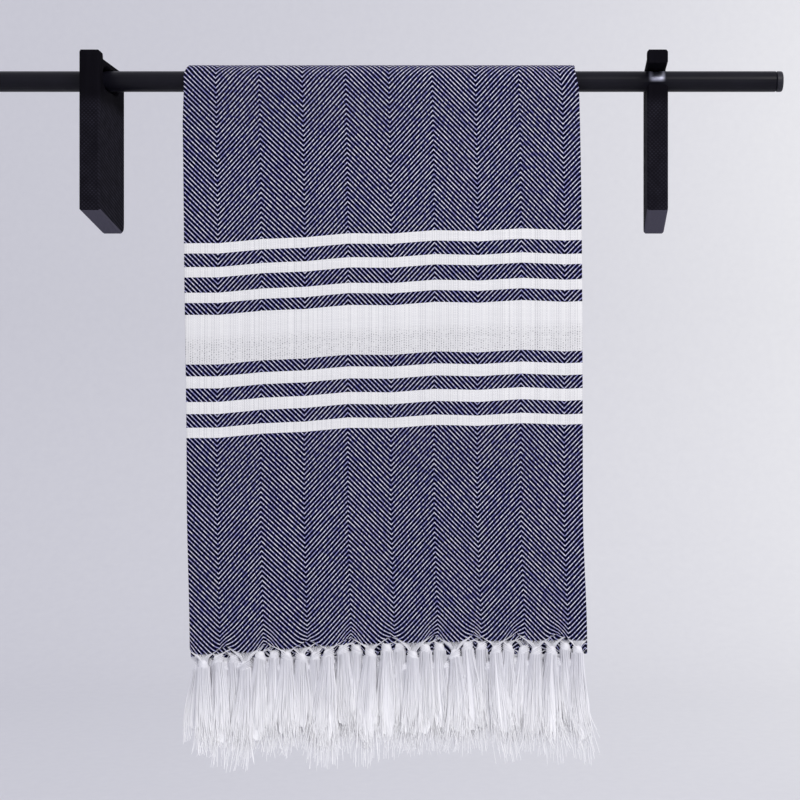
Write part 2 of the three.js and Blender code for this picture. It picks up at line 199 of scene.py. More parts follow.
def front_place(x, layer, z):
    """Where a point of the front drop hangs. Layers in front of the middle are positive."""
    depth = LAYERS_MIDDLE + layer * pitch(z) * edge_pinch(x, z)
    across = LEFT_EDGE + x + drift(z) - widening(x, z) - edge_roll(x, z) + shoulder(x, z)
    return across, ROD_Y - depth + wave(x, z, FRONT_WAVES), z


print("hem at the left", front_place(0.0, FRONT_PANEL, -HEM_LEFT))

# %% [markdown]
# ## The cloth
# The real cloth is one flat length. So the model starts as one flat grid, and each of its
# points is carried to where that point of the cloth hangs: up the front, over the rod, down
# the back, round the fold at the bottom and the same way back inside it. The places on the
# flat cloth are kept as a UV map in metres, so the weave follows every fold at its true
# size. A solidify modifier then gives the cloth its thickness.

# %% The towel's section: a place across the flat cloth gives x and layer
FLAP_COLUMNS, FOLD_COLUMNS, PANEL_COLUMNS = 34, 6, 90
FOLD_ROUND = 0.5
LEFT_TURN, RIGHT_TURN = 1.1, PANEL - 1.5


def fold(start, x, flap, side):
    """The columns of a fold between a flap and the panel. side is -1 left, 1 right."""
    half = (FRONT_PANEL - flap) / 2
    for share in np.linspace(0, 1, FOLD_COLUMNS + 2)[1:-1]:
        turn = (share - 0.5) * math.pi
        layer = flap + half - side * half * math.sin(turn)
        place = start + 2 * share * (x if side < 0 else PANEL - x)
        yield place, x, layer, side * math.cos(turn), half


def section():
    """Columns across the flat cloth, from the left flap's selvage to the right flap's: the
    place across the cloth, the place across the folded towel, the layer, how far a fold
    stands out sideways there, and half the layers between its two sides."""
    columns = []
    for x in np.linspace(PANEL - FLAP_SETBACK, LEFT_TURN, FLAP_COLUMNS):
        columns.append((-x, x, LEFT_FLAP, 0, 0))
    columns.extend(fold(-LEFT_TURN, LEFT_TURN, LEFT_FLAP, -1))
    for x in np.linspace(LEFT_TURN, RIGHT_TURN, PANEL_COLUMNS):
        columns.append((x, x, FRONT_PANEL, 0, 0))
    columns.extend(fold(RIGHT_TURN, RIGHT_TURN, RIGHT_FLAP, 1))
    for x in np.linspace(RIGHT_TURN, FLAP_SETBACK, FLAP_COLUMNS):
        columns.append((2 * PANEL - x, x, RIGHT_FLAP, 0, 0))
    return np.array(columns).T


across_cloth, across_towel, layers, bulge, turn_size = section()

# %% The towel's rows: each stretch of the cloth on its way round
def closer_at_start(count, power):
    return np.linspace(0, 1, count + 1)[:-1] ** power


STRETCHES = {
    "front": closer_at_start(84, 1.35),
    "over": closer_at_start(16, 1.0),
    "back": closer_at_start(36, 1.0),
    "fold": closer_at_start(8, 1.0),
    "inner_back": closer_at_start(36, 1.0),
    "inner_over": closer_at_start(12, 1.0),
    "inner_front": 1 - np.append(closer_at_start(54, 1.35), 1.0)[::-1],
}
ROWS = [(name, share) for name, shares in STRETCHES.items() for share in shares]
print("rows", len(ROWS))

# %% Where the knots of each layer pull the hem down, from the left edge of the towel
FRONT_KNOTS = {FRONT_PANEL: 11.8, LEFT_FLAP: 22.5, RIGHT_FLAP: 33.2}
INNER_KNOTS = {FRONT_PANEL: 17.1, LEFT_FLAP: 27.8, RIGHT_FLAP: 6.4}
SCALLOP_NARROWS = 2.2


def hem_lift(x, layer, knots):
    """The hem rises between two knots, because the warp ends are gathered to the knots."""
    first = np.interp(layer, sorted(knots), [knots[k] for k in sorted(knots)])
    between = (1 - np.cos((x - first) / TASSEL_PITCH * 2 * math.pi)) / 2
    return SCALLOP_HEIGHT * between ** SCALLOP_NARROWS


# %% Carry the flat cloth to where it hangs
def hang_row(name, share):
    """The places of one row of the cloth, and how far along the flat cloth the row lies."""
    x = across_towel + bulge * FOLD_ROUND
    layer = layers
    front, inner, back = front_length(x), inner_length(x), back_length(x)
    if name in ("front", "inner_front"):
        outer = name == "front"
        length, knots = (front, FRONT_KNOTS) if outer else (inner, INNER_KNOTS)
        up = length * share if outer else length * (1 - share)
        gathered = np.clip(1 - up / SCALLOP_OVER, 0, 1) ** 2
        z = up - length + hem_lift(x, layer, knots) * gathered
        x = x + bulge * turn_size * pitch(z)
        places = front_place(x, layer if outer else -layer, z)
        return places, up if outer else CLOTH_LENGTH - up
    if name in ("over", "inner_over"):
        outer = name == "over"
        turn = math.pi * (share if outer else 1 - share)
        reach = LAYERS_MIDDLE + PITCH_ON_ROD * (layer if outer else -layer)
        x = x + bulge * turn_size * PITCH_ON_ROD
        along = front + ARC_OUTER * share
        if not outer:
            along = CLOTH_LENGTH - inner - ARC_INNER * (1 - share)
        z = reach * math.sin(turn)
        return (LEFT_EDGE + x + shoulder(x, z), ROD_Y - reach * math.cos(turn), z), along
    if name in ("back", "inner_back"):
        outer = name == "back"
        z = -back * (share if outer else 1 - share)
        flare = FOLD_FLARE * smooth(-z, back - FLARE_OVER, back)
        away = layer * pitch(z) + flare
        away = away if outer else -away
        y = ROD_Y + LAYERS_MIDDLE + away + wave(x, z, BACK_WAVES)
        along = front + ARC_OUTER + back * share
        if not outer:
            along = front + ARC_OUTER + back + ARC_FOLD + back * share
        x = x + bulge * turn_size * pitch(z)
        return (LEFT_EDGE + x - drift(z) / 2 + shoulder(x, z), y, z), along
    turn = math.pi * share
    reach = layer * PITCH_HANGING + FOLD_FLARE
    y = ROD_Y + LAYERS_MIDDLE + wave(x, -back, BACK_WAVES) + reach * math.cos(turn)
    z = -back - reach * math.sin(turn)
    x = x + bulge * turn_size * PITCH_HANGING
    along = front + ARC_OUTER + back + ARC_FOLD * share
    return (LEFT_EDGE + x - drift(-back) / 2, y, z), along


def hang_cloth():
    """Every row's places, and its places on the flat cloth, for the threads to follow."""
    places, flat = [], []
    for name, share in ROWS:
        (x, y, z), along = hang_row(name, share)
        places.append(np.stack(np.broadcast_arrays(x, y, z), axis=-1))
        threads = across_cloth - fold_wander(z)
        if name in ("front", "inner_front"):
            threads = threads - edge_roll(across_towel, z)
        flat.append(np.stack(np.broadcast_arrays(threads, along), axis=-1))
    return np.array(places), np.array(flat)


bpy.ops.object.select_all(action="DESELECT")
bpy.ops.mesh.primitive_grid_add(
    x_subdivisions=len(layers) - 1, y_subdivisions=len(ROWS) - 1, size=1
)
towel = bpy.context.object
towel.name = "towel_woven"
grid = np.zeros(len(towel.data.vertices) * 3)
towel.data.vertices.foreach_get("co", grid)
grid = grid.reshape(-1, 3)
column = np.rint((grid[:, 0] + 0.5) * (len(layers) - 1)).astype(int)
row = np.rint((grid[:, 1] + 0.5) * (len(ROWS) - 1)).astype(int)
hung, flat = hang_cloth()
towel.data.vertices.foreach_set("co", (hung[row, column] * MM).ravel())
corner_vertex = np.zeros(len(towel.data.loops), int)
towel.data.loops.foreach_get("vertex_index", corner_vertex)
places_on_cloth = (flat[row, column] * MM)[corner_vertex]
towel.data.uv_layers[0].name = "flat_cloth"
towel.data.uv_layers[0].uv.foreach_set("vector", places_on_cloth.ravel())
towel.data.update()
print("cloth points", len(column))

# %% Give the cloth its thickness
thicken = towel.modifiers.new("thickness", "SOLIDIFY")
thicken.thickness = CLOTH_THICKNESS * MM
thicken.offset = 0
bpy.ops.object.modifier_apply(modifier=thicken.name)
bpy.ops.object.shade_smooth_by_angle(angle=math.radians(50))
print("towel triangles", 2 * len(towel.data.polygons))

# %% [markdown]
# ## The fringe
# The fringe isn't sewn on: it is the cloth's own warp, left unwoven past the hem. The warp
# ends are gathered in bunches, each bunch is tied in one overhand knot close to the hem, and
# the rest is combed out. A tassel could be made of strands alone, but it would take
# thousands of them to look as dense as cotton. So each tassel has a ribbed body that holds
# the mass of its yarn, and loose strands lie over it and run on past its end. A few plain
# tubes are modelled, and each strand and each tassel is a copy, laid in its own way.
# Such thin tubes look dark when they are shaded smooth, so the fringe is shaded flat.

# %% Model one yarn and one tassel body
def tube_model(sides, steps):
    """A straight tube of radius 1 and length 1, closed at both ends, as arrays."""
    bpy.ops.object.select_all(action="DESELECT")
    bpy.ops.mesh.primitive_circle_add(vertices=sides, radius=1, fill_type="NGON")
    tube = bpy.context.object
    bpy.ops.object.mode_set(mode="EDIT")
    bpy.ops.mesh.select_all(action="SELECT")
    for _ in range(steps):
        bpy.ops.mesh.extrude_region_move(TRANSFORM_OT_translate={"value": (0, 0, 1 / steps)})
    bpy.ops.mesh.select_all(action="SELECT")
    bpy.ops.mesh.normals_make_consistent(inside=False)
    bpy.ops.mesh.quads_convert_to_tris()
    bpy.ops.object.mode_set(mode="OBJECT")
    points = np.array([v.co for v in tube.data.vertices])
    faces = np.array([p.vertices for p in tube.data.polygons])
    bpy.data.objects.remove(tube)
    return points, faces


STRAND_STEPS, ROOT_STEPS, WRAP_STEPS = 11, 6, 16
BODY_SIDES, BODY_STEPS = 28, 11
STRAND = tube_model(3, STRAND_STEPS)
ROOT = tube_model(3, ROOT_STEPS)
WRAP = tube_model(4, WRAP_STEPS)
BODY = tube_model(BODY_SIDES, BODY_STEPS)
print("faces: strand", len(STRAND[1]), "root", len(ROOT[1]), "body", len(BODY[1]))

# %% Lay copies of a yarn along their paths
def lay_yarns(model, paths, radii):
    """Copies the yarn along every path. paths is (yarns, points, 3), evenly spaced along
    the yarn, and radii is (yarns, points)."""
    points, faces = model
    steps = paths.shape[1] - 1
    ring = np.rint(points[:, 2] * steps).astype(int)
    along = np.gradient(paths, axis=1)
    along /= np.linalg.norm(along, axis=2, keepdims=True)
    side = np.cross(along, np.array([0.03, 1.0, 0.05]))
    side /= np.linalg.norm(side, axis=2, keepdims=True)
    other = np.cross(along, side)
    radius = radii[:, ring, None]
    placed = paths[:, ring] + radius * (
        side[:, ring] * points[None, :, 0, None] + other[:, ring] * points[None, :, 1, None]
    )
    first = (np.arange(len(paths)) * len(points))[:, None, None]
    share = np.broadcast_to(points[None, :, 2], placed.shape[:2])
    return placed.reshape(-1, 3), (faces[None] + first).reshape(-1, 3), share.ravel()


# %% The shape of a tassel, from the top of its knot down
ROOT_REACH = 15.4
STRAND_RADIUS, ROOT_RADIUS, WRAP_RADIUS = 0.33, 0.34, 0.5
SHORTEST, LONGEST = 60.0, 92.0
KNOT_HALF_WIDTH, KNOT_HALF_DEPTH, KNOT_HALF_HEIGHT = 4.2, 3.5, 4.6
KNOT_ENDS, SPREADS_OVER = 9.4, 20
SWAY_LENGTH, SWAY_POWER = 80, 1.5

# How far below the knot's top, half the width there, and half the depth.
BODY_DROP = [0, 0.8, 2.4, 5, 8.5, 12, 18, 28, 40, 52, 62, 68]
BODY_HALF_WIDTH = [0.6, 2.4, 3.4, 3.7, 3.5, 3.4, 3.9, 4.9, 5.8, 6.2, 5.6, 4.0]
BODY_HALF_DEPTH = [0.5, 1.9, 3.0, 3.4, 3.0, 2.6, 2.4, 2.1, 1.8, 1.2, 0.6, 0.15]

# The loose strands lie over the body and keep fanning out where it ends.
STRAND_DROP = [0, 5, 12, 27, 46, 60, 92]
STRAND_HALF_WIDTH = [2.4, 4.0, 4.2, 5.8, 7.2, 7.8, 8.6]


def below_knot(drop):
    """0 down to the knot's end, and then up to 1 as the yarn spreads out."""
    return np.clip((drop - KNOT_ENDS) / SPREADS_OVER, 0, 1)


def sway(drop, lean, bend):
    """How far a tassel has swung sideways at a place below its knot's top."""
    share = drop / SWAY_LENGTH
    return lean * share ** SWAY_POWER + bend * np.sin(share * math.pi)


def swing(drop, depth):
    """How far it has swung towards the wall there."""
    return depth * (1 - np.exp(-drop / SPREADS_OVER))


# %% Lay out a tassel's body
RIB_DEPTH, RIB_AT_KNOT, RIB_BELOW = 0.3, 0.35, 1.1
RIB_LENGTHS = (-0.13, 0.09)
BODY_TIP_FROM = 0.95


def tassel_body(random, top, width, lean, bend, depth, cut):
    """A copy of the body: ribbed like a bunch of yarns, with a knot-shaped head. cut is
    its length as a share of a full one."""
    points, faces = BODY
    ring = np.rint(points[:, 2] * BODY_STEPS).astype(int)
    angle = np.arctan2(points[:, 1], points[:, 0])
    rib = np.rint((angle / (2 * math.pi) + 0.5) * BODY_SIDES).astype(int) % BODY_SIDES
    ribs = random.uniform(-RIB_DEPTH, RIB_DEPTH, BODY_SIDES)
    stretch = 1 + random.uniform(*RIB_LENGTHS, BODY_SIDES)
    drop = np.array(BODY_DROP)[ring]
    below = below_knot(drop)
    drop = drop * (1 + (stretch[rib] * cut - 1) * below)
    out = ribs[rib] * (RIB_AT_KNOT + RIB_BELOW * below) * (points[:, 2] < BODY_TIP_FROM)
    wide = np.array(BODY_HALF_WIDTH)[ring] * (1 + (width - 1) * below) + out
    deep = np.array(BODY_HALF_DEPTH)[ring] + out
    x = top[0] + wide * np.cos(angle) + sway(drop, lean, bend)
    y = top[1] + deep * np.sin(angle) + swing(drop, depth)
    placed = np.stack([x, y, top[2] - drop], axis=-1)
    return placed, faces, drop / LONGEST, rib / BODY_SIDES


# %% Lay out the warp ends between the hem and a knot
ROOTS = 22
ROOT_END_WIDTH, ROOT_END_DEPTH, ROOT_END_BELOW = 2.2, 1.6, 2.5
BOW_NARROWER, BOW_BELOW, BOW_FALLS = 0.8, 2.0, 1.2
NECK_WIDTH, NECK_ABOVE, NECK_RISES = 2.6, 1.0, 1.5


def root_paths(random, count, reach, knot, hem_places):
    """The warp ends from the hem down to the knot. They follow the gathered hem first, then
    bow towards the knot and come into it from above: one smooth curve with four guides."""
    spots = np.linspace(-1, 1, count)
    starts = hem_places(knot[0] + spots * reach)
    t = np.linspace(0, 1, ROOT_STEPS + 1)[None, :, None]
    end = np.stack([
        knot[0] + spots * ROOT_END_WIDTH,
        knot[1] + random.uniform(-ROOT_END_DEPTH, ROOT_END_DEPTH, count),
        np.full(count, knot[2] - ROOT_END_BELOW),
    ], axis=-1)
    bow = starts.copy()
    bow[:, 0] = knot[0] + spots * reach * BOW_NARROWER
    bow[:, 2] -= BOW_BELOW + BOW_FALLS * np.abs(spots)
    neck = end.copy()
    neck[:, 0] = knot[0] + spots * NECK_WIDTH
    neck[:, 2] = knot[2] + NECK_ABOVE + NECK_RISES * np.abs(spots)
    p0, p1, p2, p3 = (p[:, None, :] for p in (starts, bow, neck, end))
    return (
        (1 - t) ** 3 * p0 + 3 * t * (1 - t) ** 2 * p1
        + 3 * t * t * (1 - t) * p2 + t ** 3 * p3
    )


# %% Lay out the loose strands over a body
STRAND_FROM = 5.5
STRANDS_END_AT = {True: 0.25, False: 1.0}
STRAND_LIFT = (0.0, 0.7)
CURL_FROM, CURL_OVER = 48, 36
CURL_INWARD = (-0.1, 0.6)
CURL_ASIDE, CURL_POWER, CURL_DEEP, CURL_RISES = 4.5, 1.5, 1.0, 2.0
RIPPLE_FROM, RIPPLE_OVER = 12, 30
RIPPLES, RIPPLE_LENGTHS = (0.4, 0.2), (9, 10)


def strand_paths(random, count, top, width, lean, bend, depth, cut, outer):
    """Loose strands over the body: out of the knot, down, and on past the body's end, where
    they curl a little. The front tassels hide their own backs, so their strands lie mostly
    on the front: the angle runs from the left over the front to a little past the right."""
    around = random.uniform(-math.pi, STRANDS_END_AT[outer] * math.pi, count)
    length = random.uniform(SHORTEST, LONGEST, count) * cut
    t = np.linspace(0, 1, STRAND_STEPS + 1)[None]
    drop = STRAND_FROM + (length[:, None] - STRAND_FROM) * t
    past = np.clip((drop - CURL_FROM) / CURL_OVER, 0, 1)
    off = random.uniform(*STRAND_LIFT, (count, 1))
    wide = np.interp(drop, STRAND_DROP, STRAND_HALF_WIDTH)
    wide = wide * (1 + (width - 1) * below_knot(drop))
    deep = np.interp(drop, BODY_DROP, BODY_HALF_DEPTH)
    spread = np.cos(around)[:, None]
    inward = 1 - past * random.uniform(*CURL_INWARD, (count, 1))
    curl = random.normal(0, 1, (2, count, 1))
    ripple = random.uniform(0, 2 * math.pi, (2, count, 1))
    grown = np.clip((drop - RIPPLE_FROM) / RIPPLE_OVER, 0, 1)
    x = (
        top[0] + sway(drop, lean, bend) + (wide + off) * spread * inward
        + curl[0] * past ** CURL_POWER * CURL_ASIDE
        + RIPPLES[0] * grown * np.sin(drop / RIPPLE_LENGTHS[0] + ripple[0])
    )
    y = (
        top[1] + (deep + off) * np.sin(around)[:, None]
        + swing(drop, depth) + curl[1] * past * CURL_DEEP
        + RIPPLES[1] * grown * np.sin(drop / RIPPLE_LENGTHS[1] + ripple[1])
    )
    z = top[2] - drop + np.abs(curl[0]) * past ** 2 * CURL_RISES
    return np.stack([x, y, z], axis=-1)


# %% Lay out a knot's turns
WRAPS = 6
WRAPS_NARROW, WRAPS_REACH = 0.42, 0.6
WRAP_SLANT, WRAP_SLANT_GROWS = 1.7, 0.9


def wrap_paths(random, knot, size):
    """The turns of the overhand knot: slanted rings of yarn round the bunch."""
    side = random.choice([-1, 1])
    turn = np.linspace(0, 1, WRAP_STEPS + 1) * 2 * math.pi
    paths = []
    for level in np.linspace(-1, 1, WRAPS):
        full = math.sqrt(1 - WRAPS_NARROW * level * level)
        slant = side * (WRAP_SLANT + WRAP_SLANT_GROWS * level)
        x = KNOT_HALF_WIDTH * full * np.cos(turn)
        y = KNOT_HALF_DEPTH * full * np.sin(turn)
        z = WRAPS_REACH * KNOT_HALF_HEIGHT * level + slant * np.cos(turn)
        paths.append(np.stack([x, y, z], axis=-1))
    return np.array(paths) * size + np.array(knot)


# %% [markdown]
# ### Tie and comb the ends
# No two tassels are alike: pairs of numbers are the least and the most of what may differ.
# The fringe's UV map holds no place. Its first value is a shade of each yarn's own, and its
# second is the share of the yarn's length, which carries painted shade near the knot and
# painted light towards the tip. The warp ends above a knot and the knot's turns belong to
# the top and keep a small share.

# %% Tie and comb one end's fringe
LAST_KNOT_INSIDE, ROOTS_INSIDE, ROOTS_PAST_EDGE, ROOTS_ABOVE_HEM = 4, 0.4, 2, 0.8
KNOT_BEHIND_HEM = 0.4
KNOT_ASIDE, KNOT_LOWER, KNOT_SIZE = (-1.2, 1.2), (-1.0, 4.2), (0.94, 1.06)
LEANS, LEANS_OUT, UPRIGHT_AT, BENDS = 4.0, 5, 0.35, 1.3
BODY_WIDER, BODY_DEEPER, OWN_LENGTH = (0.9, 1.22), (-0.4, 0.4), (0.84, 1.04)
BODY_SHADE, SHADE_RANGE, RIB_RANGE = 0.2, 0.4, 0.2
YARN_THICKNESS, TIP_THINNER = (0.75, 1.25), 0.3
WHOLE_YARN, TOP_OF_YARN = 1.0, 0.1
# The knot's turns face the light, so their shade values are capped lower, meant as painted
# shade.
ANY_SHADE, TURNS_PAINTED_SHADE = 1.0, 0.6


def fringe(name, seed, knots, hem_length, outer, strands_in, knot_drops, cut):
    """One end's tassels as one mesh. cut is their length as a share of a full one."""
    random = np.random.default_rng(seed)
    points, faces, shades, lengths = [], [], [], []
    used = 0

    def keep(placed, corners, share, shade):
        nonlocal used
        points.append(placed)
        faces.append(corners + used)
        lengths.append(share)
        shades.append(shade)
        used += len(placed)

    for layer, first in sorted(knots.items(), reverse=outer):
        signed = layer if outer else -layer
        for number in range(int((PANEL - LAST_KNOT_INSIDE - first) // TASSEL_PITCH) + 1):
            x = first + number * TASSEL_PITCH
            hem = -float(hem_length(x))
            hem_x, hem_y, _ = (float(v) for v in front_place(x, signed, hem))
            top = (
                hem_x + random.uniform(*KNOT_ASIDE),
                hem_y + (KNOT_BEHIND_HEM if outer else 0.0),
                hem - knot_drops[layer] - random.uniform(*KNOT_LOWER),
            )
            knot = (top[0], top[1], top[2] - KNOT_HALF_HEIGHT)

            def hem_places(xs):
                over = np.clip(xs - top[0] + x, ROOTS_INSIDE, PANEL - ROOTS_INSIDE)
                z = -hem_length(over) + hem_lift(over, layer, knots) + ROOTS_ABOVE_HEM
                return np.stack(np.broadcast_arrays(*front_place(over, signed, z)), axis=-1)

            reach = min(ROOT_REACH, x + ROOTS_PAST_EDGE, PANEL - x + ROOTS_PAST_EDGE)
            lean = random.normal(0, LEANS) + LEANS_OUT * (x / PANEL - UPRIGHT_AT)
            bend = random.normal(0, BENDS)
            width = random.uniform(*BODY_WIDER)
            depth = random.uniform(*BODY_DEEPER)
            size = random.uniform(*KNOT_SIZE)
            own = (top, width, lean, bend, depth, cut * random.uniform(*OWN_LENGTH))
            placed, corners, share, rib = tassel_body(random, *own)
            shade = BODY_SHADE + SHADE_RANGE * random.uniform() + RIB_RANGE * rib
            keep(placed, corners, share, shade)
            strands = strand_paths(random, strands_in[layer], *own, outer)
            taper = 1 - TIP_THINNER * np.linspace(0, 1, STRAND_STEPS + 1) ** 3
            thick = random.uniform(*YARN_THICKNESS, (len(strands), 1))
            thick = STRAND_RADIUS * thick * taper
            roots = root_paths(random, ROOTS, reach, top, hem_places)
            wraps = wrap_paths(random, knot, size)
            for model, paths, radii, lightest, reaches in (
                (STRAND, strands, thick, ANY_SHADE, WHOLE_YARN),
                (ROOT, roots, np.full(roots.shape[:2], ROOT_RADIUS), ANY_SHADE, TOP_OF_YARN),
                (WRAP, wraps, np.full(wraps.shape[:2], WRAP_RADIUS), TURNS_PAINTED_SHADE, TOP_OF_YARN),
            ):
                placed, corners, share = lay_yarns(model, paths, radii)
                shade = np.repeat(random.uniform(0, lightest, len(paths)), len(model[0]))
                keep(placed, corners, share * reaches, shade)
    points, faces = np.concatenate(points) * MM, np.concatenate(faces)
    mesh = bpy.data.meshes.new(name)
    mesh.from_pydata(points.tolist(), [], faces.tolist())
    yarns = np.stack([np.concatenate(shades), np.concatenate(lengths)], axis=-1)
    mesh.uv_layers.new(name="yarn")
    mesh.uv_layers["yarn"].uv.foreach_set("vector", yarns[faces.ravel()].ravel())
    made = bpy.data.objects.new(name, mesh)
    bpy.context.scene.collection.objects.link(made)
    bpy.ops.object.select_all(action="DESELECT")
    made.select_set(True)
    bpy.context.view_layer.objects.active = made
    bpy.ops.object.shade_flat()
    print(name, "triangles", len(faces))
    return made


fringe_front = fringe(
    "fringe_front_yarn", seed=11, knots=FRONT_KNOTS, hem_length=front_length, outer=True,
    strands_in={FRONT_PANEL: 76, LEFT_FLAP: 58, RIGHT_FLAP: 50},
    knot_drops={FRONT_PANEL: 2.4, LEFT_FLAP: 0.2, RIGHT_FLAP: 0.2}, cut=1.0,
)
fringe_inner = fringe(
    "fringe_inner_yarn", seed=23, knots=INNER_KNOTS, hem_length=inner_length, outer=False,
    strands_in={FRONT_PANEL: 76, LEFT_FLAP: 56, RIGHT_FLAP: 40},
    knot_drops={FRONT_PANEL: 1.0, LEFT_FLAP: 1.0, RIGHT_FLAP: 1.0}, cut=0.8,
)

# %% [markdown]
# ## Finishes
# Every finish is built from nodes, so it stays sharp at any distance. Colours are noted as
# sRGB hex, the way a colour chart gives them, and one function turns them to the linear
# values that the shader wants. One more function adds a node with its settings and links.
# Longer sums are tables: a line names a result, the operation, and the two values that it
# is worked out from, by name or by number.

# %% Colour and node helpers
def linear(colour):
    """A hex colour, as on a chart, as the linear RGBA that a shader takes."""
    channels = [int(colour[i:i + 2], 16) / 255 for i in (1, 3, 5)]
    return (*[
        c / 12.92 if c <= 0.04045 else ((c + 0.055) / 1.055) ** 2.4 for c in channels
    ], 1)


EASED, MULTIPLIED = {"interpolation_type": "SMOOTHSTEP"}, {"blend_type": "MULTIPLY"}


def add(tree, kind, settings=None, inputs=None):
    """Adds a node. Its inputs are values, hex colours, output sockets, or nodes for their
    first output."""
    made = tree.nodes.new("ShaderNode" + kind)
    for name, value in (settings or {}).items():
        setattr(made, name, value)
    for name, value in (inputs or {}).items():
        if isinstance(value, str):
            value = linear(value)
        if isinstance(value, bpy.types.Node):
            value = value.outputs[0]
        if isinstance(value, bpy.types.NodeSocket):
            tree.links.new(value, made.inputs[name])
        else:
            made.inputs[name].default_value = value
    return made


def work_out(tree, value, steps):
    """Adds one Math node for each step, and keeps its result under the step's name."""
    for name, operation, first, second in steps:
        value[name] = add(tree, "Math", {"operation": operation}, {
            0: value.get(first, first), 1: value.get(second, second),
        })


def new_material(name):
    made = bpy.data.materials.new(name)
    made.use_nodes = True
    made.node_tree.nodes.clear()
    return made, made.node_tree


def surface(tree, inputs):
    shader = add(tree, "BsdfPrincipled", {}, inputs)
    return add(tree, "OutputMaterial", {}, {"Surface": shader})


# %% [markdown]
# ### Woven cotton
# The warp, which runs up and down, is undyed white yarn. The weft is navy in the ground and
# white in the stripes. In the ground each weft passes over two warps and under two, one
# warp further on in each row, which draws lines at 45 degrees; the direction turns round
# every 37 threads, and that makes the herringbone. In the stripes the weave is plain.
# Everything is worked out from the flat cloth's UV map: the number of the warp and of the
# weft that a point is on. A cell for every crossing would flicker at this distance, so the
# white of the ground is drawn as slanted lines, and each warp thread gives its stretch of a
# line its own brightness, which looks like the small separate floats of the real twill.
# In one stretch of the broad stripe the wefts lie less close, and tiny gaps show.

# %% Woven cotton: sizes
TURNS_EVERY = 37.0
THREAD = 33.73 / TURNS_EVERY
WEFT_PITCH = 0.955
TWILL_REPEAT = 4.0
VALLEY_AT = 92.7 - LEFT_EDGE
STRIPE_ZIGZAG = 0.8
RAMP_LENGTH = 340.0

# Whole repeats added to the threads' numbers, so that none is negative.
COLUMNS_ADDED, WEFTS_ADDED = 1000, 40.0

# Where the cloth turns from navy to white and back, in millimetres above the hem.
WHITE_STRIPES = [
    (168.2, 176.1), (186.7, 195.3), (206.5, 216.0), (225.1, 263.3),
    (272.4, 281.4), (292.4, 301.0), (311.7, 319.6),
]

# Where the broad stripe's gaps begin to show, show fully, begin to close and are closed.
OPEN_CLOTH = (222.0, 228.0, 240.0, 250.0)
HOLE_SHADE, THIN_SHADE, RIB_SHADE = 1.3, 0.07, 0.3
RIB_SHARPNESS, GAP_SHARPNESS = 3.0, 2.0
print("thread", round(THREAD, 3), "mm, twill repeat", round(TWILL_REPEAT * WEFT_PITCH, 2), "mm")

# %% Woven cotton: threads from the flat cloth
cotton, tree = new_material("cotton_herringbone_weave")
flat_uv = add(tree, "UVMap", {"uv_map": "flat_cloth"})
split = add(tree, "SeparateXYZ", {}, {0: flat_uv})
value = dict(zip("uv", split.outputs))
THREAD_STEPS = [
    ("warp", "DIVIDE", "u", THREAD * MM),
    ("warp_shifted", "ADD", "warp", COLUMNS_ADDED * TURNS_EVERY - VALLEY_AT / THREAD),
    ("weft", "DIVIDE", "v", WEFT_PITCH * MM),
    ("weft_shifted", "ADD", "weft", WEFTS_ADDED),
    ("warp_number", "FLOOR", "warp_shifted", 0.0),
    ("weft_number", "FLOOR", "weft_shifted", 0.0),
    ("warp_side", "FRACT", "warp_shifted", 0.0),
    ("weft_side", "FRACT", "weft_shifted", 0.0),
    ("from_valley", "PINGPONG", "warp_number", TURNS_EVERY),
    ("from_valley_smooth", "PINGPONG", "warp_shifted", TURNS_EVERY),
    ("slope_smooth", "SUBTRACT", TURNS_EVERY, "from_valley_smooth"),
    ("twill_sum", "ADD", "weft_shifted", "slope_smooth"),
    ("twill_turn", "DIVIDE", "twill_sum", TWILL_REPEAT),
    ("twill_line", "PINGPONG", "twill_turn", 0.5),
    ("line_number", "FLOOR", "twill_turn", 0.0),
    ("plain_sum", "ADD", "weft_number", "warp_number"),
    ("plain_turn", "MODULO", "plain_sum", 2.0),
    ("warp_over_plain", "LESS_THAN", "plain_turn", 0.5),
    ("warp_arch", "PINGPONG", "warp_side", 0.5),
    ("weft_arch", "PINGPONG", "weft_side", 0.5),
]
work_out(tree, value, THREAD_STEPS)

# How far from the middle of a navy line the white begins, as a share of a repeat.
LINE_EDGE, LINE_SOFTNESS = 0.388, 0.09
value["warp_over_twill"] = add(tree, "MapRange", EASED, {
    0: value["twill_line"], 1: LINE_EDGE - LINE_SOFTNESS, 2: LINE_EDGE + LINE_SOFTNESS,
})
print("thread nodes", len(THREAD_STEPS))

# %% Woven cotton: the stripes at both ends
STRIPE_STEPS = [
    ("from_other_hem", "SUBTRACT", CLOTH_LENGTH * MM, "v"),
    ("from_hem", "MINIMUM", "v", "from_other_hem"),
    ("wefts_from_hem", "DIVIDE", "from_hem", THREAD * MM),
    ("zigzag", "MULTIPLY", "from_valley", 2 * STRIPE_ZIGZAG / THREAD / TURNS_EVERY),
    ("wefts_zigzag", "SUBTRACT", "wefts_from_hem", "zigzag"),
    ("wefts_centred", "ADD", "wefts_zigzag", STRIPE_ZIGZAG / THREAD),
    ("stripe_place", "MULTIPLY", "wefts_centred", THREAD / RAMP_LENGTH),
]
work_out(tree, value, STRIPE_STEPS)
stripes = add(tree, "ValToRGB", {}, {0: value["stripe_place"]})
stripes.color_ramp.interpolation = "CONSTANT"
stripes.color_ramp.elements[0].color = (0, 0, 0, 1)
stripes.color_ramp.elements[1].position = WHITE_STRIPES[0][0] / RAMP_LENGTH
for begin, end in WHITE_STRIPES:
    if begin != WHITE_STRIPES[0][0]:
        stripes.color_ramp.elements.new(begin / RAMP_LENGTH).color = (1, 1, 1, 1)
    stripes.color_ramp.elements.new(end / RAMP_LENGTH).color = (0, 0, 0, 1)
print("stripes", len(WHITE_STRIPES))

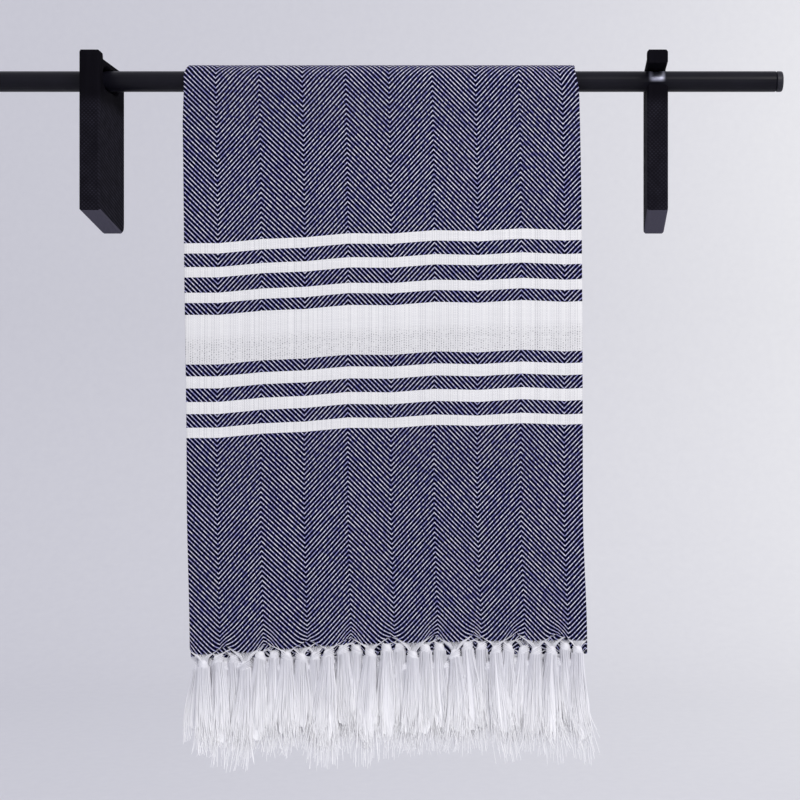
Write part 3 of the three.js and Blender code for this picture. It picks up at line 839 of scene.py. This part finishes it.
# %% Woven cotton: colour of the yarns in the ground
uneven = add(tree, "TexNoise", {}, {
    "Vector": flat_uv, "Scale": 9.0, "Detail": 3.0, "Roughness": 0.6,
})
per_warp = add(tree, "TexWhiteNoise", {"noise_dimensions": "1D"}, {"W": value["warp_number"]})
per_weft = add(tree, "TexWhiteNoise", {"noise_dimensions": "1D"}, {"W": value["weft_number"]})
nub_place = add(tree, "CombineXYZ", {}, {0: value["warp_number"], 1: value["line_number"]})
per_nub = add(tree, "TexWhiteNoise", {"noise_dimensions": "2D"}, {"Vector": nub_place})
warp_white = add(tree, "MixRGB", {}, {0: per_nub, 1: "#9090CC", 2: "#EFEFFC"})
weft_navy = add(tree, "MixRGB", {}, {0: per_weft, 1: "#030218", 2: "#09072A"})
weft_white = add(tree, "MixRGB", {}, {0: per_weft, 1: "#EDEDEC", 2: "#F5F5F3"})
ground = add(tree, "MixRGB", {}, {0: value["warp_over_twill"], 1: weft_navy, 2: warp_white})
plain_warp = add(tree, "MixRGB", {}, {0: per_warp, 1: "#E4E4E6", 2: "#F5F5F4"})
plain = add(tree, "MixRGB", {}, {0: value["warp_over_plain"], 1: weft_white, 2: plain_warp})
print("yarn colours mixed")

# %% Woven cotton: grooves between pairs of warps, and gaps in the open stretch
PLAIN_STEPS = [
    ("rib_turn", "MULTIPLY", "warp_shifted", 0.5),
    ("rib_side", "PINGPONG", "rib_turn", 0.5),
    ("rib_valley", "MULTIPLY", "rib_side", 2.0),
    ("rib_gap", "POWER", "rib_valley", RIB_SHARPNESS),
    ("rib_number", "FLOOR", "rib_turn", 0.0),
]
GAP_STEPS = [
    ("gap_start", "MULTIPLY", "rib_random", 2.0),
    ("gap_places", "MULTIPLY", "weft_shifted", 0.5),
    ("gap_turn", "ADD", "gap_places", "gap_start"),
    ("gap_number", "FLOOR", "gap_turn", 0.0),
    ("gap_side", "PINGPONG", "gap_turn", 0.5),
    ("gap_valley", "MULTIPLY", "gap_side", 2.0),
    ("weft_gap", "POWER", "gap_valley", GAP_SHARPNESS),
    ("hole", "MULTIPLY", "rib_gap", "weft_gap"),
]
SHADE_STEPS = [
    ("open_cloth", "MULTIPLY", "open_from", "open_to"),
    ("uneven_hole", "MULTIPLY", "hole", "hole_random"),
    ("open_hole", "MULTIPLY", "uneven_hole", "open_cloth"),
    ("deep_hole", "MULTIPLY", "open_hole", HOLE_SHADE),
    ("thin_shade", "MULTIPLY", "open_cloth", THIN_SHADE),
    ("open_shade", "ADD", "deep_hole", "thin_shade"),
    ("uneven_rib", "MULTIPLY", "rib_gap", "rib_random"),
    ("rib_shade", "MULTIPLY", "uneven_rib", RIB_SHADE),
    ("plain_shade", "ADD", "open_shade", "rib_shade"),
]
open_begins, open_fully, open_until, open_ends = OPEN_CLOTH
for name, none, full in (
    ("open_from", open_begins, open_fully), ("open_to", open_ends, open_until),
):
    value[name] = add(tree, "MapRange", EASED, {
        0: value["from_hem"], 1: none * MM, 2: full * MM,
    })
work_out(tree, value, PLAIN_STEPS)
value["rib_random"] = add(tree, "TexWhiteNoise", {"noise_dimensions": "1D"}, {
    "W": value["rib_number"],
})
work_out(tree, value, GAP_STEPS)
hole_place = add(tree, "CombineXYZ", {}, {0: value["rib_number"], 1: value["gap_number"]})
value["hole_random"] = add(tree, "TexWhiteNoise", {"noise_dimensions": "2D"}, {
    "Vector": hole_place,
})
work_out(tree, value, SHADE_STEPS)
plain = add(tree, "MixRGB", MULTIPLIED, {
    0: value["plain_shade"], 1: plain, 2: "#5C5C66",
})
woven = add(tree, "MixRGB", {}, {0: stripes, 1: ground, 2: plain})
print("grooves and gaps mixed")

# %% Woven cotton: height of the threads
# The thread that lies on top arches up, and the cloth is darker in the grooves beside it.
GROOVE_SHADE, PATCHY_SHADE = 0.55, 0.06
HEIGHT_STEPS = [
    ("not_stripe", "SUBTRACT", 1.0, "stripe"),
    ("over_twill_there", "MULTIPLY", "warp_over_twill", "not_stripe"),
    ("over_plain_there", "MULTIPLY", "warp_over_plain", "stripe"),
    ("warp_over", "ADD", "over_twill_there", "over_plain_there"),
    ("weft_over", "SUBTRACT", 1.0, "warp_over"),
    ("warp_height", "MULTIPLY", "warp_over", "warp_arch"),
    ("weft_height", "MULTIPLY", "weft_over", "weft_arch"),
    ("height", "ADD", "warp_height", "weft_height"),
    ("groove", "SUBTRACT", 0.5, "height"),
    ("groove_shade", "MULTIPLY", "groove", GROOVE_SHADE),
]
value["stripe"] = stripes
work_out(tree, value, HEIGHT_STEPS)
shaded = add(tree, "MixRGB", MULTIPLIED, {
    0: value["groove_shade"], 1: woven, 2: "#4A4A66",
})
patchy = add(tree, "MixRGB", MULTIPLIED, {0: PATCHY_SHADE, 1: shaded, 2: uneven})
bump = add(tree, "Bump", {}, {
    "Strength": 0.55, "Distance": 0.35 * MM, "Height": value["height"],
})
surface(tree, {
    "Base Color": patchy, "Roughness": 0.92, "Specular IOR Level": 0.02, "Normal": bump,
    "Sheen Weight": 0.02, "Sheen Roughness": 0.5,
})
print("weave nodes", len(tree.nodes))

# %% [markdown]
# ### Cotton yarn
# The fringe is the same undyed cotton as the warp. Seen close, it is whiter and silkier
# than the cloth, because its fibres lie parallel. Each strand has its own slight shade. Each
# is painted darker near the knot, as painted shade under the towel, and lighter towards its
# tip, as painted light where it hangs free.

# %% Cotton yarn
yarn_white, tree = new_material("cotton_yarn_undyed")
yarn_uv = add(tree, "UVMap", {"uv_map": "yarn"})
streak_place = add(tree, "Mapping", {}, {"Vector": yarn_uv, "Scale": (420.0, 1.2, 1.0)})
streaks = add(tree, "TexNoise", {}, {"Vector": streak_place, "Scale": 1.0, "Detail": 3.0})
spread = add(tree, "MapRange", {}, {0: streaks, 1: 0.3, 2: 0.7})
length_share = add(tree, "SeparateXYZ", {}, {0: yarn_uv}).outputs[1]
# Painted shade near the knot and painted light towards the tip, along the yarn's length.
painted_light_to_tip = add(tree, "MapRange", EASED, {0: length_share, 1: 0.05, 2: 0.8})
duller = add(tree, "MixRGB", {}, {0: painted_light_to_tip, 1: "#D2D2D8", 2: "#EEEEF0"})
lighter = add(tree, "MixRGB", {}, {0: painted_light_to_tip, 1: "#EFEFF2", 2: "#FCFCFC"})
shade = add(tree, "MixRGB", {}, {0: spread, 1: duller, 2: lighter})
place = add(tree, "TexCoord").outputs["Object"]
fibre_place = add(tree, "Mapping", {}, {"Vector": place, "Scale": (2200.0, 2200.0, 60.0)})
fibres = add(tree, "TexNoise", {}, {"Vector": fibre_place, "Scale": 1.0, "Detail": 2.0})
flecked = add(tree, "MixRGB", MULTIPLIED, {0: 0.05, 1: shade, 2: fibres})
bump = add(tree, "Bump", {}, {"Strength": 0.3, "Distance": 0.2 * MM, "Height": fibres})
surface(tree, {
    "Base Color": flecked, "Roughness": 0.75, "Specular IOR Level": 0.3, "Normal": bump,
    "Sheen Weight": 0.3, "Sheen Roughness": 0.4,
})
print("yarn nodes", len(tree.nodes))

# %% [markdown]
# ### Black rail
# The rod is steel tube with a black powder coat, which is satin and slightly pebbled, like
# fine orange peel. In the open notch of the right bracket a small patch of bright steel is a
# painted highlight, which makes the glint there. The plugs in its ends are moulded plastic,
# a shade greyer.

# %% Powder coat on the rod
coat, tree = new_material("steel_black_powder_coat")
place = add(tree, "TexCoord").outputs["Object"]
split = add(tree, "SeparateXYZ", {}, {0: place})

# The glint patch in the notch is a painted highlight of bright steel. It fades in at its left,
# at its right and below its lip, each from where the coat is whole to where the patch is
# full, in metres.
NOTCH_GLINT = [("X", 0.4305, 0.4355), ("X", 0.4450, 0.4405), ("Z", -0.0025, 0.0015)]
pebbles = add(tree, "TexNoise", {}, {"Vector": place, "Scale": 1400.0, "Detail": 2.0})
smudges = add(tree, "TexNoise", {}, {"Vector": place, "Scale": 38.0, "Detail": 4.0})
tone = add(tree, "MixRGB", {}, {0: smudges, 1: "#0A0A10", 2: "#16151E"})
glint_patch = 1.0
for axis, whole, gone in NOTCH_GLINT:
    patch_mask = add(tree, "MapRange", EASED, {0: split.outputs[axis], 1: whole, 2: gone})
    glint_patch = add(tree, "Math", {"operation": "MULTIPLY"}, {0: glint_patch, 1: patch_mask})
# Painted highlight: the glint patch mixes in bright steel.
glint_steel = add(tree, "MixRGB", {}, {0: glint_patch, 1: tone, 2: "#C9CBE0"})
rough = add(tree, "MapRange", {}, {0: smudges, 1: 0.3, 2: 0.7, 3: 0.3, 4: 0.42})
bump = add(tree, "Bump", {}, {"Strength": 0.25, "Distance": 0.08 * MM, "Height": pebbles})
surface(tree, {
    "Base Color": glint_steel, "Metallic": glint_patch, "Roughness": rough, "Normal": bump,
    "Specular IOR Level": 0.12,
})
print("powder coat nodes", len(tree.nodes))

# %% Moulded plugs
plug, tree = new_material("nylon_moulded_black")
place = add(tree, "TexCoord").outputs["Object"]
grain = add(tree, "TexNoise", {}, {"Vector": place, "Scale": 900.0, "Detail": 2.0})
tone = add(tree, "MixRGB", {}, {0: grain, 1: "#15151B", 2: "#22222B"})
bump = add(tree, "Bump", {}, {"Strength": 0.3, "Distance": 0.06 * MM, "Height": grain})
surface(tree, {
    "Base Color": tone, "Roughness": 0.45, "Normal": bump, "Specular IOR Level": 0.25,
})
print("plug nodes", len(tree.nodes))

# %% [markdown]
# ### Lacquered wood with a carved hatch
# The brackets are hardwood under black lacquer. Below the rod their faces are carved with
# fine slanted ridges, and wear has thinned the lacquer on them. On the front two sets of
# ridges cross in diamonds. On the sides only one set runs, and it falls slowly towards the
# wall. Adding a part of the depth to the width lets each line run on round the corner. Near
# the foot the underside is painted paler, as painted light that it catches from below.

# %% Lacquered wood
lacquer, tree = new_material("hardwood_black_lacquer")
RIDGE_SPACING = 3.0
DEPTH_SLANT = 0.31
CARVED_FROM, CARVED_FULLY = -0.014, -0.026
FOOT_FROM, FOOT_FULLY = -0.03, -0.05
WEAR_ON_RIDGES, UNDERSIDE_PAINTED_LIGHT, GRAIN_RELIEF = 0.38, 0.9, 0.12
place = add(tree, "TexCoord").outputs["Object"]
split = add(tree, "SeparateXYZ", {}, {0: place})
facing = add(tree, "SeparateXYZ", {}, {0: add(tree, "NewGeometry").outputs["Normal"]})
value = dict(zip("xyz", split.outputs), normal_x=facing.outputs[0])
HATCH_STEPS = [
    ("depth_share", "MULTIPLY", "y", DEPTH_SLANT),
    ("around", "ADD", "x", "depth_share"),
    ("up_slope", "ADD", "around", "z"),
    ("down_slope", "SUBTRACT", "around", "z"),
    ("up_turns", "DIVIDE", "up_slope", RIDGE_SPACING * MM),
    ("down_turns", "DIVIDE", "down_slope", RIDGE_SPACING * MM),
    ("up_ridge", "PINGPONG", "up_turns", 0.5),
    ("down_ridge", "PINGPONG", "down_turns", 0.5),
    ("sideways", "ABSOLUTE", "normal_x", 0.0),
    ("down_cut", "MAXIMUM", "down_ridge", "sideways"),
    ("diamond", "MINIMUM", "up_ridge", "down_cut"),
]
work_out(tree, value, HATCH_STEPS)
carved = add(tree, "MapRange", EASED, {0: value["z"], 1: CARVED_FROM, 2: CARVED_FULLY})
hatch = add(tree, "Math", {"operation": "MULTIPLY"}, {0: value["diamond"], 1: carved})
grain_place = add(tree, "Mapping", {}, {"Vector": place, "Scale": (260, 260, 22)})
grain = add(tree, "TexNoise", {}, {"Vector": grain_place, "Scale": 1.0, "Detail": 4.0})
patch_mask = add(tree, "TexNoise", {}, {"Vector": place, "Scale": 120.0, "Detail": 4.0})
tone = add(tree, "MixRGB", {}, {0: grain, 1: "#0A090D", 2: "#131217"})
ridge_wear = add(tree, "Math", {"operation": "MULTIPLY"}, {0: hatch, 1: patch_mask})
ridge_wear = add(tree, "Math", {"operation": "MULTIPLY"}, {
    0: ridge_wear, 1: WEAR_ON_RIDGES,
})
worn_and_lit_tone = add(tree, "MixRGB", {}, {0: ridge_wear, 1: tone, 2: "#6D6B7E"})
# Painted light: faces that look down near the foot are made paler.
underside = add(tree, "MapRange", EASED, {
    0: facing.outputs[2], 1: -0.3, 2: -0.6, 4: UNDERSIDE_PAINTED_LIGHT,
})
at_foot = add(tree, "MapRange", EASED, {0: value["z"], 1: FOOT_FROM, 2: FOOT_FULLY})
painted_underside_light = add(tree, "Math", {"operation": "MULTIPLY"}, {0: underside, 1: at_foot})
worn_and_lit_tone = add(tree, "MixRGB", {}, {0: painted_underside_light, 1: worn_and_lit_tone, 2: "#54525E"})
relief = add(tree, "Math", {"operation": "MULTIPLY_ADD"}, {
    0: grain, 1: GRAIN_RELIEF, 2: hatch,
})
bump = add(tree, "Bump", {}, {"Strength": 0.8, "Distance": 0.35 * MM, "Height": relief})
surface(tree, {
    "Base Color": worn_and_lit_tone, "Roughness": 0.55, "Normal": bump, "Specular IOR Level": 0.002,
})
print("lacquer nodes", len(tree.nodes))

# %% Put the finishes on
SOFT_FINISHES = [(towel, cotton), (fringe_front, yarn_white), (fringe_inner, yarn_white)]
for piece, finish in SOFT_FINISHES:
    piece.data.materials.append(finish)
FRAME_FINISHES = {
    "rod": coat,
    "rod_cap_left": plug,
    "rod_cap_right": plug,
    "bracket_left": lacquer,
    "bracket_right": lacquer,
}
for name, finish in FRAME_FINISHES.items():
    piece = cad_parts[name]
    for place in piece.material_slots:
        place.material = finish
print("finishes on", len(SOFT_FINISHES) + len(FRAME_FINISHES), "pieces")

# %% [markdown]
# ## Attach the soft pieces
# The three soft pieces ride on the part's one body and stand for the plain solids of the
# cloth and its fringes, which are hidden.

# %% Soft pieces
for piece, solid, finish in [
    (towel, "towel_cloth", "towel_cloth"),
    (fringe_front, "fringe_front_end", "fringe_yarn"),
    (fringe_inner, "fringe_inner_end", "fringe_yarn"),
]:
    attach(piece, "root")
    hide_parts(solid)

# %% [markdown]
# ## The studio
# A pale floor runs back and curves up far behind the rail, like a roll of studio paper, so
# no horizon shows. The main light is a large soft lamp to the right, above and in front. A
# second one stands behind the rail and lights only the paper, so it brightens to the right,
# and the pale world keeps the shadows open.

# %% Floor and cove
FLOOR_LEVEL, FLOOR_HALF_WIDTH, FLOOR_FRONT = -1.1, 5.0, -4.0
COVE_START, COVE_RADIUS, COVE_TOP = 2.9, 1.2, 4.0
COVE_STEPS = 12
bpy.ops.object.select_all(action="DESELECT")
bpy.ops.mesh.primitive_plane_add(size=2)
paper = bpy.context.object
paper.name = "studio_paper"
profile = [(FLOOR_FRONT, FLOOR_LEVEL), (COVE_START, FLOOR_LEVEL)]
for angle in np.linspace(0, math.pi / 2, COVE_STEPS + 1)[1:]:
    profile.append((
        COVE_START + COVE_RADIUS * math.sin(angle),
        FLOOR_LEVEL + COVE_RADIUS * (1 - math.cos(angle)),
    ))
profile.append((COVE_START + COVE_RADIUS, COVE_TOP))
points = [(side * FLOOR_HALF_WIDTH, y, z) for y, z in profile for side in (-1, 1)]
quads = [(2 * i, 2 * i + 1, 2 * i + 3, 2 * i + 2) for i in range(len(profile) - 1)]
paper.data.clear_geometry()
paper.data.from_pydata(points, [], quads)
paper.data.shade_smooth()
paper_finish, tree = new_material("studio_paper_pale")
fibre = add(tree, "TexNoise", {}, {
    "Vector": add(tree, "TexCoord").outputs["Object"], "Scale": 40.0, "Detail": 3.0,
})
tone = add(tree, "MixRGB", {}, {0: fibre, 1: "#D6D6DB", 2: "#DCDCE0"})
surface(tree, {"Base Color": tone, "Roughness": 0.95})
paper.data.materials.append(paper_finish)
print("paper rows", len(profile))

# %% Lamps and world
def lamp(name, place, aim, size, power, colour):
    bpy.ops.object.light_add(type="AREA", location=place)
    made = bpy.context.object
    made.name = name
    made.data.size = size
    made.data.energy = power
    made.data.color = linear(colour)[:3]
    away = np.array(place) - np.array(aim)
    flat_distance = math.hypot(away[0], away[1])
    made.rotation_euler = (
        math.atan2(flat_distance, away[2]), 0, math.atan2(away[0], -away[1]),
    )
    return made


TOWEL_MIDDLE = (0.22, -0.04, -0.25)
PAPER_RIGHT = (1.5, 4.1, 0.6)
WORLD_COLOUR, WORLD_STRENGTH = "#E8E8F2", 0.97
lamp("lamp_main", (1.3, -1.7, 1.0), TOWEL_MIDDLE, size=1.1, power=30, colour="#FFFDF8")
lamp("lamp_paper", (3.0, 1.9, 0.9), PAPER_RIGHT, size=1.2, power=37, colour="#FFFFE8")
world = bpy.data.worlds.new("studio_air")
bpy.context.scene.world = world
world.use_nodes = True
sky = world.node_tree.nodes["Background"]
sky.inputs["Color"].default_value = linear(WORLD_COLOUR)
sky.inputs["Strength"].default_value = WORLD_STRENGTH
bpy.context.scene.view_settings.view_transform = "Standard"
print("lamps set")
